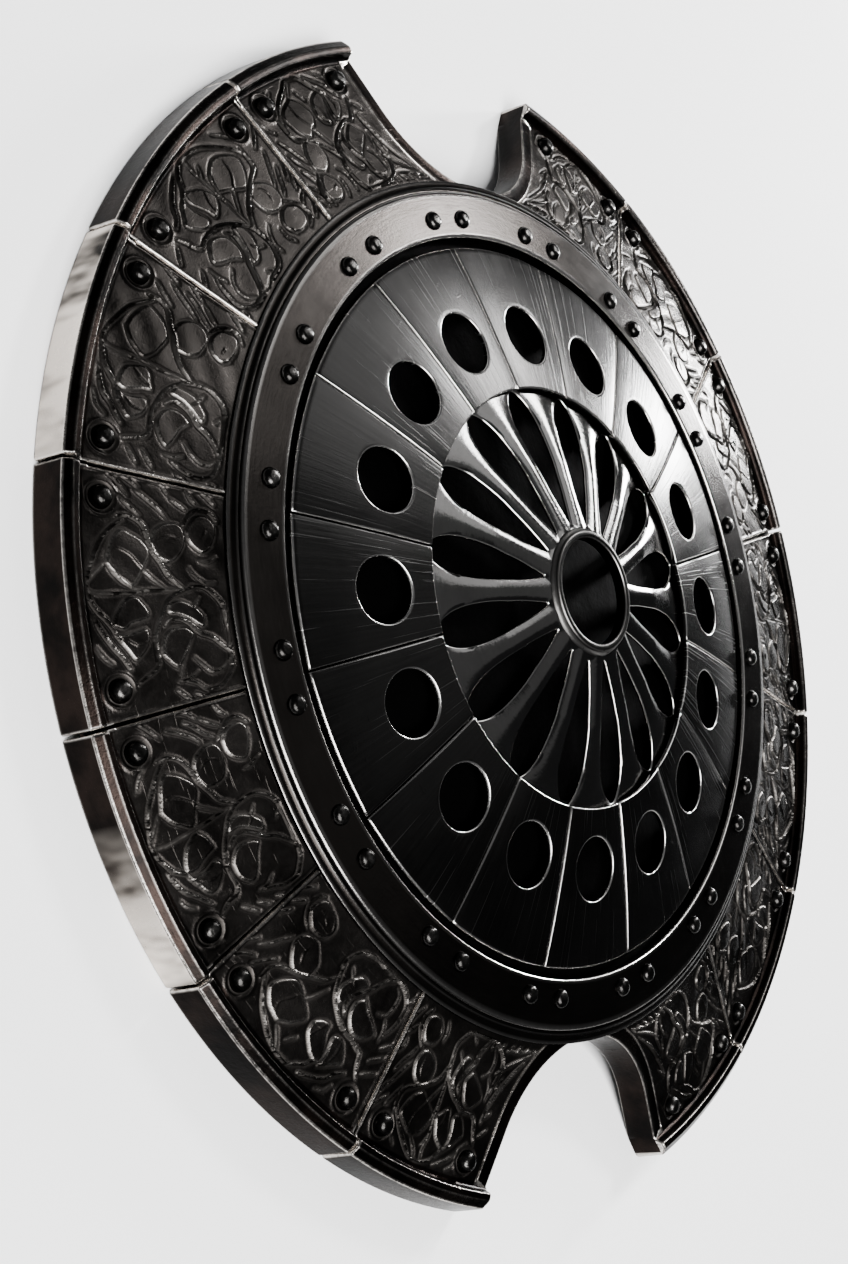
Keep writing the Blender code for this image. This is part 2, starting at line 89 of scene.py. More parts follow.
RING_OUTER = 184.5
RING_INNER = 158.5
TONGUE_INNER = 162.0
RING_RIVET_CIRCLE = 166.5
RING_RIVET_AWAY = 3.54
PLATE_RIVET_CIRCLE = 233.3
PLATE_RIVET_AWAY = 2.75
NOTCH_RIVET = 18.4
# Width and rise of the rivets' heads
PLATE_HEAD = (9.2, 4.6)
RING_HEAD = (8.4, 3.2)
BACK_HEAD = (6.4, 1.6)

BOSS_RADIUS = 154.3
BOSS_INNER = 89.5
BOSS_CROWN = 55.45
BOSS_CURVE = 540.0
PANEL_THICKNESS = 2.5
PANEL_GAP = 0.8
HOLE_CIRCLE = 114.4
HOLE_RADIUS = 13.2

ROSETTE_OUTER = 94.5
MIDDLE_RADIUS = 57.0
HUB_RADIUS = 26.5
HUB_HOLE = 22.5
HUB_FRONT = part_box("rosette")[1][2] / MM
HUB_HEIGHT = 2.6
ROSETTE_THICKNESS = 2.5

SHELL_THICKNESS = 2.5
# How far the shell lies below the boss, and the play between it and what it carries
SHELL_DEPTH = 8.0
FIT = 0.3

random = np.random.default_rng(1627)


def field_top(radius):
    """Height of the plates' sloping field."""
    return FIELD_EDGE + (FIELD_RADIUS - radius) * FIELD_SLOPE


def boss_top(radius):
    """Height of the domed panels."""
    return BOSS_CROWN - radius**2 / (2 * BOSS_CURVE)


TONGUE_TOP = field_top(RING_OUTER) + 0.6
ROSETTE_RIM = boss_top(BOSS_INNER) - PANEL_THICKNESS - 0.55
ROSETTE_MIDDLE = ROSETTE_RIM + 8.2
ROSETTE_TOP = HUB_FRONT - HUB_HEIGHT


def rosette_top(radius):
    """Height of the sunken disc, which rises to the hub."""
    return np.interp(
        radius,
        (HUB_RADIUS, MIDDLE_RADIUS, BOSS_INNER, ROSETTE_OUTER),
        (ROSETTE_TOP, ROSETTE_MIDDLE, ROSETTE_RIM, ROSETTE_RIM - 0.95),
    )


def polar(radius, angle, height):
    """Points (..., 3) in millimetres from radii, angles in degrees and heights."""
    turn = np.radians(angle)
    return np.stack(np.broadcast_arrays(radius * np.cos(turn), radius * np.sin(turn), height), -1)


def smooth_path(points, spacing):
    """A Catmull-Rom curve through chosen points, at about this spacing."""
    points = np.asarray(points, float)
    ends = np.vstack([2 * points[0] - points[1], points, 2 * points[-1] - points[-2]])
    path = []
    for a, b, c, d in zip(ends, ends[1:], ends[2:], ends[3:]):
        steps = max(2, int(np.linalg.norm(c - b) / spacing))
        t = np.arange(steps)[:, None] / steps
        path.append(
            0.5
            * (2 * b + (c - a) * t + (2 * a - 5 * b + 4 * c - d) * t**2 + (3 * b - a - 3 * c + d) * t**3)
        )
    return np.vstack(path + [points[-1:]])


# Shader graphs

# How much of a metal's usual glare is kept at a glancing view
GLANCING = (0.6, 0.6, 0.6, 1.0)


class Wire:
    """A shader socket: working with it adds Math nodes."""

    def __init__(self, finish, socket):
        self.finish = finish
        self.socket = socket

    def __add__(self, other):
        return self.finish.math("ADD", self, other)

    def __sub__(self, other):
        return self.finish.math("SUBTRACT", self, other)

    def __rsub__(self, other):
        return self.finish.math("SUBTRACT", other, self)

    def __mul__(self, other):
        return self.finish.math("MULTIPLY", self, other)

    def __truediv__(self, other):
        return self.finish.math("DIVIDE", self, other)

    def __pow__(self, other):
        return self.finish.math("POWER", self, other)

    __radd__ = __add__
    __rmul__ = __mul__


class Finish:
    """A material and the nodes that its surface is worked out with."""

    def __init__(self, name):
        self.material = bpy.data.materials.new(name)
        self.material.use_nodes = True
        self.tree = self.material.node_tree
        self.tree.nodes.clear()
        self.place = self.node("ShaderNodeTexCoord", output="Object")

    def node(self, kind, settings=None, inputs=None, output=0):
        """A new node with its settings, and values or links for its sockets."""
        made = self.tree.nodes.new(kind)
        for key, value in (settings or {}).items():
            setattr(made, key, value)
        for key, value in (inputs or {}).items():
            if isinstance(value, Wire):
                self.tree.links.new(value.socket, made.inputs[key])
            else:
                made.inputs[key].default_value = value
        return Wire(self, made.outputs[output]) if made.outputs else None

    def math(self, operation, *values):
        return self.node("ShaderNodeMath", {"operation": operation}, dict(enumerate(values)))

    def step(self, value, low, high):
        """0 below low and 1 above high."""
        return self.node(
            "ShaderNodeMapRange",
            {"interpolation_type": "SMOOTHSTEP"},
            {"Value": value, "From Min": low, "From Max": high},
        )

    def noise(self, scale, detail=3.0, roughness=0.5, place=None):
        """Noise with features of about 1 / scale metres."""
        inputs = {"Vector": place or self.place, "Scale": scale, "Detail": detail, "Roughness": roughness}
        return self.node("ShaderNodeTexNoise", inputs=inputs)

    def mix(self, factor, low, high):
        """A colour between two, which are triples or wires."""
        low, high = (colour if isinstance(colour, Wire) else (*colour, 1) for colour in (low, high))
        return self.node("ShaderNodeMix", {"data_type": "RGBA"}, {0: factor, 6: low, 7: high}, 2)

    def attribute(self, name):
        """What a field of lattice gave the surface."""
        return self.node("ShaderNodeAttribute", {"attribute_name": name}, output="Fac")

    def around(self, turns, along):
        """Coordinates stretched round the shield's axis: more of along gives finer rings."""
        x = self.node("ShaderNodeSeparateXYZ", inputs={0: self.place})
        y = Wire(self, x.socket.node.outputs["Y"])
        radius = (x * x + y * y) ** 0.5
        inputs = {0: x / radius * turns, 1: y / radius * turns, 2: radius * along}
        return self.node("ShaderNodeCombineXYZ", inputs=inputs)

    def bump(self, height, distance, strength=1.0, normal=None):
        """A normal for this relief, over another if given."""
        inputs = {"Height": height, "Distance": distance, "Strength": strength}
        if normal:
            inputs["Normal"] = normal
        return self.node("ShaderNodeBump", inputs=inputs, output="Normal")

    def surface(self, colour, roughness, normal, metallic=1.0):
        """The material, finished with this surface."""
        inputs = {"Base Color": colour, "Roughness": roughness, "Normal": normal}
        inputs.update({"Metallic": metallic, "Specular Tint": GLANCING})
        shader = self.node("ShaderNodeBsdfPrincipled", inputs=inputs)
        self.node("ShaderNodeOutputMaterial", inputs={"Surface": shader})
        return self.material


def scratches(finish, place, scale, low):
    """Sparse fine lines, 1 on a scratch, from noise stretched along the brushing."""
    return finish.step(finish.noise(scale, 2.0, 0.6, place), low, low + 0.06)


def embossed_steel():
    """Blackened steel: dark in the outlines from dirt and painted shade, satin on the ground and leaves,
    rubbed bright on edges; the rim's bead and walls take painted shade, and a few walls a painted reflection.
    """
    finish = Finish("embossed_steel")
    relief, rim = finish.attribute("relief"), finish.attribute("rim")
    rubbed, dirt = finish.attribute("rubbed"), finish.attribute("dirt")
    edge = finish.attribute("edge")
    broad = finish.noise(34.0, 4.0, 0.6)
    fine = finish.noise(420.0, 4.0, 0.65)
    colour = finish.mix(finish.step(broad, 0.3, 0.7), (0.012, 0.0108, 0.010), (0.030, 0.027, 0.025))
    # Dirt and painted shade: darker in the chased outlines and in the groove round each rivet
    colour = finish.mix(dirt * (0.35 + 0.5 * fine), colour, (0.006, 0.0055, 0.005))
    worn = rubbed * finish.step(broad + 0.4 * fine, 0.55, 0.95)
    colour = finish.mix(worn, colour, (0.16, 0.15, 0.14))
    streaks = finish.noise(1.0, 3.0, 0.65, finish.around(10.0, 260.0))
    # Painted shade: the rim's bead and walls and the notch borders take a much darker colour than the field
    band = finish.mix(finish.step(broad, 0.35, 0.65), (0.0025, 0.0023, 0.0022), (0.010, 0.0071, 0.0061))
    colour = finish.mix(rim, colour, band)
    # Painted reflection: pale streaks on the rim's wall of a few plates
    shine = finish.attribute("shine")
    colour = finish.mix(shine * finish.step(streaks, 0.35, 0.6), colour, (0.62, 0.56, 0.50))
    colour = finish.mix(edge * finish.step(fine + broad, 0.55, 1.2), colour, (0.66, 0.62, 0.58))
    roughness = 0.25 + 0.14 * (fine - 0.5) + 0.22 * (broad - 0.5) + 0.30 * dirt
    lines = scratches(finish, finish.around(9.0, 900.0), 1.0, 0.66)
    normal = finish.bump(fine + 0.5 * finish.noise(1500.0, 2.0), 0.0002, 0.5)
    normal = finish.bump(lines - 0.5 * relief * fine, 0.00008, 0.5, normal)
    return finish.surface(colour, roughness, normal)


def boss_steel():
    """Dark brushed steel with scratches that run out from the hub."""
    finish = Finish("boss_steel")
    broad = finish.noise(24.0, 4.0, 0.6)
    fine = finish.noise(700.0, 3.0, 0.6)
    brushed = finish.noise(1.0, 3.0, 0.7, finish.around(95.0, 22.0))
    lines = scratches(finish, finish.around(150.0, 14.0), 1.0, 0.63)
    crossed = scratches(finish, finish.around(16.0, 260.0), 1.0, 0.68)
    colour = finish.mix(broad * 0.6 + brushed * 0.4, (0.0065, 0.0064, 0.0063), (0.021, 0.0205, 0.020))
    colour = finish.mix(lines * 0.15, colour, (0.10, 0.0975, 0.096))
    edge = finish.attribute("edge")
    colour = finish.mix(edge * (0.5 + 0.5 * fine), colour, (0.60, 0.585, 0.57))
    roughness = 0.23 + 0.16 * (broad - 0.5) + 0.12 * (brushed - 0.5) + 0.10 * lines - 0.04 * edge
    normal = finish.bump(brushed, 0.00012, 0.5)
    normal = finish.bump(lines + crossed + 0.8 * fine, 0.00003, 0.6, normal)
    return finish.surface(colour, roughness, normal)


def ring_steel(name, low, high, gloss):
    """Satin black steel, brushed round the shield."""
    finish = Finish(name)
    broad = finish.noise(30.0, 4.0, 0.6)
    fine = finish.noise(800.0, 3.0, 0.6)
    brushed = finish.noise(1.0, 3.0, 0.7, finish.around(14.0, 700.0))
    colour = finish.mix(broad * 0.7 + brushed * 0.3, low, high)
    edge = finish.attribute("edge")
    colour = finish.mix(edge * (0.6 + 0.6 * fine), colour, (0.60, 0.58, 0.56))
    roughness = gloss + 0.16 * (broad - 0.5) + 0.10 * (brushed - 0.5) - 0.04 * edge
    normal = finish.bump(fine * 0.5 + brushed, 0.00012, 0.5)
    return finish.surface(colour, roughness, normal)


def rivet_steel():
    """Glossy black rivet heads, a little dented."""
    finish = Finish("rivet_steel")
    broad = finish.noise(160.0, 3.0, 0.6)
    fine = finish.noise(900.0, 3.0, 0.6)
    colour = finish.mix(finish.step(broad, 0.45, 0.75), (0.012, 0.0115, 0.011), (0.05, 0.048, 0.046))
    roughness = 0.22 + 0.20 * (fine - 0.5) + 0.16 * (broad - 0.5)
    normal = finish.bump(broad + 0.3 * fine, 0.0006, 0.6)
    return finish.surface(colour, roughness, normal)


def back_steel():
    """The dull forged steel of the back, with painted shade: black on its front face, where the holes and
    slots show it.
    """
    finish = Finish("back_steel")
    broad = finish.noise(20.0, 5.0, 0.6)
    dents = finish.noise(75.0, 2.0, 0.5)
    fine = finish.noise(600.0, 4.0, 0.65)
    colour = finish.mix(broad, (0.018, 0.017, 0.016), (0.045, 0.041, 0.038))
    colour = finish.mix(finish.step(fine + 0.5 * broad, 0.72, 0.9) * 0.5, colour, (0.075, 0.042, 0.030))
    # Painted shade: the front face, marked by the edge attribute, is painted near black and made rougher
    within = finish.attribute("edge")
    roughness = 0.56 + 0.22 * (broad - 0.5) + 0.16 * (fine - 0.5) + 0.3 * within
    colour = finish.mix(within, colour, (0.0012, 0.0012, 0.0012))
    normal = finish.bump(dents + 0.25 * fine, 0.0012, 0.5)
    return finish.surface(colour, roughness, normal)


# Making pieces


def lattice(points, **fields):
    """A grid whose corners are moved to these places (across, along, 3), in millimetres.

    Each field gives every corner a value, kept as an attribute of its name.
    """
    across, along = points.shape[0] - 1, points.shape[1] - 1
    shape = bmesh.new()
    bmesh.ops.create_grid(shape, x_segments=across, y_segments=along, size=1)
    layers = {name: shape.verts.layers.float.new(name) for name in fields}
    for vert in shape.verts:
        i = round((vert.co.x + 1) / 2 * across)
        j = round((vert.co.y + 1) / 2 * along)
        vert.co = points[i, j] * MM
        for name, layer in layers.items():
            vert[layer] = fields[name][i, j]
    return shape


def closed(shape):
    """Seams merged, open ends filled and faces turned outwards."""
    bmesh.ops.remove_doubles(shape, verts=shape.verts[:], dist=1e-7)
    rim = [edge for edge in shape.edges if edge.is_boundary]
    if rim:
        filled = bmesh.ops.holes_fill(shape, edges=rim, sides=0)
        bmesh.ops.triangulate(shape, faces=filled["faces"])
    bmesh.ops.recalc_face_normals(shape, faces=shape.faces[:])
    return shape


def moved(shape, matrix):
    """The same bmesh, moved by a matrix."""
    bmesh.ops.transform(shape, matrix=matrix, verts=shape.verts[:])
    return shape


def meshed(name, shape):
    """A mesh made of a bmesh, which ends there."""
    mesh = bpy.data.meshes.new(name)
    shape.to_mesh(mesh)
    shape.free()
    return mesh


def placed(name, data):
    """A new object in the scene, with this mesh, light or camera."""
    thing = bpy.data.objects.new(name, data)
    bpy.context.scene.collection.objects.link(thing)
    return thing


def joined(shapes):
    """Several bmeshes as one, with the first one's attributes."""
    whole = shapes[0]
    for other in shapes[1:]:
        mesh = meshed("joined", other)
        whole.from_mesh(mesh)
        bpy.data.meshes.remove(mesh)
    return whole


def piece(name, shape, material, nodes=(), sharp=50):
    """A finished piece of the shield. It takes the place of these nodes."""
    mesh = meshed(name, shape)
    mesh.materials.append(material)
    mesh.shade_smooth()
    mesh.set_sharp_from_angle(angle=math.radians(sharp))
    thing = placed(name, mesh)
    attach(thing, "root")
    if nodes:
        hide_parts(*nodes)
    return thing


def turn_by(degrees):
    """A turn round the shield's axis."""
    return Matrix.Rotation(math.radians(degrees), 4, "Z")


def turned(profile, steps):
    """A closed outline turned round the axis, from the radius, height and wear of its corners; on the shell
    this value marks the front face that takes painted shade.
    """
    radius, height, wear = np.array(profile + profile[:1], float).T
    angles = 360 * np.arange(steps + 1) / steps
    points = polar(radius[None], angles[:, None], height[None])
    return closed(lattice(points, edge=np.tile(wear, (steps + 1, 1))))


# Embossed rim plates

# A whole plate's chasing, as degrees from its middle and radius in millimetres
LEAVES = [
    [(-2.8, 231.7), (-3.8, 231.1), (-5.0, 228.9), (-5.9, 225.9), (-5.7, 222.1), (-4.9, 218.1), (-3.7, 215.1),
     (-2.1, 217.8), (-1.4, 219.0), (-0.5, 222.3), (-1.0, 226.3), (-1.7, 229.5)],
    [(2.9, 231.8), (2.0, 230.5), (1.1, 228.1), (0.5, 225.0), (0.3, 221.7), (0.9, 218.7), (1.7, 217.5),
     (2.4, 217.1), (2.6, 220.6), (3.0, 224.1), (3.4, 228.1)],
    [(3.6, 231.6), (4.5, 229.6), (5.6, 226.5), (6.1, 224.7), (5.4, 220.5), (4.2, 217.7), (3.4, 219.5),
     (3.7, 225.5)],
    [(-3.8, 213.4), (-5.0, 214.4), (-6.2, 212.4), (-7.0, 208.4), (-6.9, 203.8), (-6.0, 200.9), (-4.9, 200.6),
     (-3.6, 203.0), (-3.0, 207.1), (-3.2, 211.3)],
    [(-6.7, 199.8), (-7.8, 197.4), (-8.3, 194.2), (-8.1, 190.6), (-7.2, 188.4), (-5.5, 188.8), (-4.2, 192.0),
     (-4.4, 196.0), (-5.4, 199.2)],
    [(4.4, 200.5), (5.4, 203.2), (6.7, 206.0), (7.6, 209.3), (6.6, 212.8), (5.5, 214.2), (4.3, 212.5),
     (3.4, 208.6), (3.6, 203.8)],
    [(1.0, 208.6), (1.9, 209.8), (2.3, 205.4), (2.9, 200.6), (3.8, 196.4), (2.6, 195.4), (1.4, 199.6),
     (0.8, 204.6)],
]
VINES = [
    [(-0.6, 239.5), (-1.7, 239.0), (-3.1, 236.6), (-4.8, 232.5), (-6.2, 228.2), (-6.9, 224.3)],
    [(-0.6, 239.5), (0.6, 239.0), (1.6, 236.7), (2.3, 234.3), (3.0, 231.8), (4.4, 229.2)],
    [(2.1, 238.3), (3.1, 237.0), (4.3, 234.6), (5.2, 232.1), (5.9, 229.4), (6.9, 227.0)],
    [(-7.1, 227.1), (-7.1, 222.0), (-6.6, 217.9), (-5.5, 215.7), (-4.1, 213.7), (-2.8, 211.1), (-1.5, 207.6),
     (-0.4, 202.7)],
    [(-0.5, 198.0), (-0.1, 203.5), (0.7, 208.1), (1.9, 211.8), (3.2, 214.2), (4.4, 215.6), (5.6, 216.1),
     (6.6, 215.9), (7.3, 217.7), (7.7, 221.7), (8.1, 225.7)],
    [(-0.5, 199.3), (-0.4, 194.0), (0.4, 190.0), (1.6, 187.4), (3.2, 186.6), (5.0, 186.6), (6.8, 187.0),
     (8.4, 188.0), (9.5, 190.4), (10.1, 194.1), (10.0, 198.9), (9.4, 203.2), (8.9, 206.2)],
    [(3.2, 211.1), (2.6, 208.8), (2.6, 205.1), (3.3, 201.2), (4.2, 197.7), (4.9, 193.4), (6.0, 189.6),
     (7.0, 187.4)],
    [(-6.9, 201.1), (-7.8, 199.0), (-8.7, 195.2), (-8.7, 190.6), (-7.8, 187.4)],
]
TENDRILS = [
    [(-3.7, 229.9), (-3.9, 226.6), (-3.4, 222.9), (-2.7, 219.6), (-2.0, 217.2), (-1.1, 213.6), (-0.3, 209.4)],
    [(-0.2, 239.0), (-0.1, 234.6), (0, 228.9), (-0.1, 222.5), (-0.1, 215.9), (-0.2, 208.7), (-0.3, 201.4)],
    [(-2.8, 231.7), (-1.7, 229.5), (-1.0, 226.3), (-0.5, 222.3), (-0.2, 219.0)],
    [(3.4, 208.6), (4.3, 212.5), (5.5, 214.2), (6.6, 212.8), (7.6, 209.3)],
    [(4.4, 200.5), (5.4, 203.2), (6.7, 206.0), (8.0, 208.6)],
    [(2.2, 201.3), (1.7, 199.3), (0.7, 196.2)],
    [(3.3, 190.4), (2.4, 188.2)],
    [(8.6, 209.1), (8.7, 205.8), (8.2, 201.7)],
    [(6.7, 201.5), (7.8, 199.3), (8.4, 195.6), (8.3, 191.0), (7.7, 189.2)],
    [(-6.4, 192.8), (-5.4, 194.3)],
    [(-5.0, 190.0), (-4.3, 193.8)],
    [(-3.8, 188.0), (-3.2, 191.2), (-3.3, 195.3)],
    [(-2.4, 199.3), (-1.6, 196.9), (-0.9, 193.4), (-1.0, 189.4)],
    [(-1.0, 233.5), (-0.5, 231.8), (-0.1, 229.5)],
    [(-1.1, 238.6), (-1.7, 236.4), (-2.7, 232.3)],
    [(4.6, 238.6), (5.6, 236.6), (6.2, 233.8)],
    [(-5.2, 237.6), (-6.4, 235.0), (-7.2, 231.6)],
    [(1.0, 225.6), (1.6, 222.2), (1.9, 218.4)],
    [(4.2, 227.4), (4.8, 223.4), (4.6, 219.4)],
    [(-4.9, 211.6), (-5.6, 208.4), (-5.4, 204.4)],
]
STROKES = [
    [(-10.8, 230.9), (-10.3, 227.3), (-9.1, 223.2)],
    [(-8.8, 225.9), (-8.1, 222.0), (-7.4, 217.8)],
    [(-10.9, 226.7), (-10.7, 223.1), (-10.1, 218.4)],
    [(-9.7, 220.1), (-9.0, 215.5), (-8.1, 210.6), (-7.4, 207.4)],
    [(-9.7, 213.3), (-9.1, 209.7), (-8.2, 205.4), (-7.6, 202.1)],
    [(-9.6, 205.7), (-8.9, 201.7), (-8.3, 199.2)],
    [(-10.9, 214.2), (-10.6, 210.6), (-9.9, 207.0)],
    [(-10.9, 207.8), (-10.3, 204.5), (-9.9, 201.6)],
    [(-10.6, 199.5), (-9.8, 197.4), (-9.3, 195.4)],
    [(-11.0, 196.6), (-10.4, 192.1), (-9.6, 188.7)],
    [(-10.9, 190.8), (-10.5, 187.0)],
    [(9.0, 236.4), (9.8, 231.6)],
    [(8.8, 223.4), (10.2, 219.8)],
    [(8.6, 217.4), (10.3, 213.2)],
    [(9.4, 211.4), (10.6, 207.6)],
    [(10.3, 204.4), (10.9, 200.4)],
    [(10.4, 190.4), (10.9, 187.2)],
]
# What fills the corner between a notch and the ring, with its angles from the notch's middle line
CORNER = [
    [(17.8, 218.5), (17.2, 211.5), (16.1, 204.5), (14.4, 198.0), (12.4, 192.6)],
    [(17.4, 199.0), (15.0, 194.0), (12.0, 189.9)],
    [(16.2, 189.4), (13.4, 188.8), (11.0, 187.2)],
]


# How far a hand strays from the drawing
STRAY = 0.3
# A distance past the reach of any outline or washer
FAR = 9.0


def whole_motif():
    """The leaves, with the height of their bodies and rims, and the straps, with half width and height.

    Some of the finer lines are left out, not the same ones on each plate.
    """
    leaves = [(outline, 0.5, 0.1) for outline in LEAVES]
    straps = [(line, 0.62, 1.15) for line in VINES]
    straps += [(line, 0.4, 0.6) for line in TENDRILS if random.random() < 0.7]
    straps += [(line, 0.52, 0.85) for line in STROKES if random.random() < 0.65]
    return leaves, straps


def trimmed_motif():
    """The same chasing turned over and narrowed for a plate beside a notch, and its corner."""

    def beside(line):
        """A line with its angles from the notch's middle line."""
        return [(24.7 - 0.8 * u, r) for u, r in line]

    leaves, straps = whole_motif()
    leaves = [(beside(line), *sizes) for line, *sizes in leaves]
    straps = [(beside(line), *sizes) for line, *sizes in straps]
    straps += [(line, 0.65, 1.0) for line in CORNER]
    for k in range(6):
        tick = [(10.6 + 1.5 * k, 186.8), (11.6 + 1.5 * k, 189.0 + 0.2 * k)]
        straps.append((tick, 0.55, 0.7))
    return leaves, straps


def plan_points(line, middle):
    """A line of the chasing on the plate's plan, as a hand would strike it."""
    angle = np.radians(np.array([u - middle for u, _ in line]))
    radius = np.array([r for _, r in line])
    plan = np.stack([radius * np.sin(angle), radius * np.cos(angle)], 1)
    return plan + random.normal(0, STRAY, plan.shape)


def nearest(spots, path):
    """How far each place is from a path, and how far along the path it comes nearest."""
    starts, runs = path[:-1], path[1:] - path[:-1]
    offset = spots[:, None] - starts[None]
    share = np.clip((offset * runs).sum(-1) / (runs**2).sum(-1), 0, 1)
    away = np.linalg.norm(offset - share[..., None] * runs, axis=-1)
    closest = away.argmin(1)
    rows = np.arange(len(spots))
    return away[rows, closest], (closest + share[rows, closest]) / len(runs)


def inside(spots, path):
    """Whether each place lies in a closed path."""
    (x0, y0), (x1, y1) = path[:-1].T, path[1:].T
    x, y = spots[:, :1], spots[:, 1:]
    crossing = (y0 > y) != (y1 > y)
    run = np.where(y1 == y0, 1.0, y1 - y0)
    return (crossing & (x < x0 + (y - y0) / run * (x1 - x0))).sum(1) % 2 == 1


def box_about(across, along, path, reach):
    """Whether each place lies in the box round a path."""
    return (
        (across > path[:, 0].min() - reach)
        & (across < path[:, 0].max() + reach)
        & (along > path[:, 1].min() - reach)
        & (along < path[:, 1].max() + reach)
    )


def chased(across, along, motif, middle):
    """Height of leaves and straps at plan places, and how far each place is from the nearest outline.

    The distance is negative inside a leaf or strap.
    """
    leaves, straps = motif
    raised = np.zeros(across.shape)
    gap = np.full(across.shape, FAR)
    for outline, rise, rim in leaves:
        points = plan_points(outline, middle)
        path = smooth_path(np.vstack([points, points[:1]]), 1.2)
        near = box_about(across, along, path, 3.0)
        if not near.any():
            continue
        spots = np.stack([across[near], along[near]], 1)
        away, _ = nearest(spots, path)
        within = inside(spots, path)
        depth = np.where(within, away, 0)
        body = rise * (1 - np.exp(-depth / 0.45)) + 0.25 * rise * (1 - np.exp(-depth / 4.0))
        body += rim * np.exp(-(((depth - 0.75) / 0.5) ** 2))
        raised[near] = np.maximum(raised[near], body * within)
        gap[near] = np.minimum(gap[near], np.where(within, -away, away))
    lifted = np.zeros(across.shape)
    for line, width, rise in straps:
        path = smooth_path(plan_points(line, middle), 1.2)
        near = box_about(across, along, path, width + 2.5)
        if not near.any():
            continue
        away, travel = nearest(np.stack([across[near], along[near]], 1), path)
        swell = 0.5 + 0.5 * np.sqrt(np.clip(np.sin(np.pi * np.clip(travel, 0.01, 0.99)), 0, 1))
        signed = away - width * swell
        ratio = away / (width * swell)
        slope = np.clip(-signed / 0.42, 0, 1)
        crown = rise * swell * slope * (2 - slope) * (1 - 0.22 * np.clip(ratio, 0, 1) ** 2)
        lifted[near] = np.maximum(lifted[near], crown)
        gap[near] = np.minimum(gap[near], signed)
    return raised + lifted * (1 - 0.35 * np.clip(raised, 0, 1)), gap


# Radius, height and wear of the rim: its foot, its wall and the rolled bead that ends at the field
RIM_ROWS = [
    (248.0, 0.0, 0), (250.3, 0.0, 0), (250.85, 0.2, 0.4), (251.0, 0.6, 0.1), (250.97, 1.1, 0),
    (250.75, 4.5, 0), (250.45, 9.5, 0), (250.16, 13.6, 0), (250.1, 13.95, 0.4), (249.95, 14.25, 0.9),
    (249.7, 14.5, 0.4), (249.3, 14.85, 0), (248.5, 15.5, 0), (247.5, 16.3, 0), (247.1, 16.65, 0.05),
    (246.8, 16.85, 0.15), (246.3, 16.95, 0), (245.6, 17.0, 0), (244.6, 17.0, 0), (244.2, 16.9, 0.2),
    (243.9, 16.6, 0.1), (243.5, 15.9, 0), (243.1, 15.1, 0), (242.7, 14.4, 0), (242.3, 14.0, 0),
    (241.9, 13.8, 0),
]


def plate_rows():
    """The closed outline of a plate: radius, height, share of relief and wear of each row."""
    rows = [(r, z, 0, wear) for r, z, wear in RIM_ROWS]
    rows += [(r, field_top(r), 1, 0) for r in np.arange(FIELD_RADIUS, RING_OUTER - 0.3, -CELL)]
    rows += [
        (RING_OUTER - 0.8, field_top(RING_OUTER) - 0.1, 0, 0),
        (TONGUE_INNER, TONGUE_TOP, 0, 0),
        (TONGUE_INNER, TONGUE_TOP - PLATE_THICKNESS, 0, 0),
    ]
    under = (RING_OUTER, 215.0, 240.0, RIM_RADIUS - WALL_THICKNESS)
    rows += [(r, field_top(r) - PLATE_THICKNESS, 0, 0) for r in under]
    return np.array(rows + rows[:1], float)


def nearest_rivet(across, along, rivets, middle):
    """How far each plan place of a plate is from its nearest rivet."""
    away = np.full(across.shape, FAR)
    for angle in rivets:
        turn = np.radians(angle - middle)
        x, y = PLATE_RIVET_CIRCLE * np.sin(turn), PLATE_RIVET_CIRCLE * np.cos(turn)
        away = np.minimum(away, np.hypot(across - x, along - y))
    return away


def hammered(across, along):
    """The low waves that the hammer leaves in a plate."""
    return sum(
        random.uniform(0.02, 0.06)
        * np.sin(
            across * random.uniform(0.1, 0.5) + along * random.uniform(0.1, 0.5) + random.uniform(0, 6)
        )
        for _ in range(6)
    )


# The low ring pressed round a rivet, and the groove inside it
WASHER_RADIUS = 6.4
MOAT_RADIUS = 4.9
# How deep the chasing's outlines are struck
LINE_DEPTH = 0.35
# The rim's rows below WALL_TOP and past this radius are its outer wall
WALL_RADIUS = 249.9


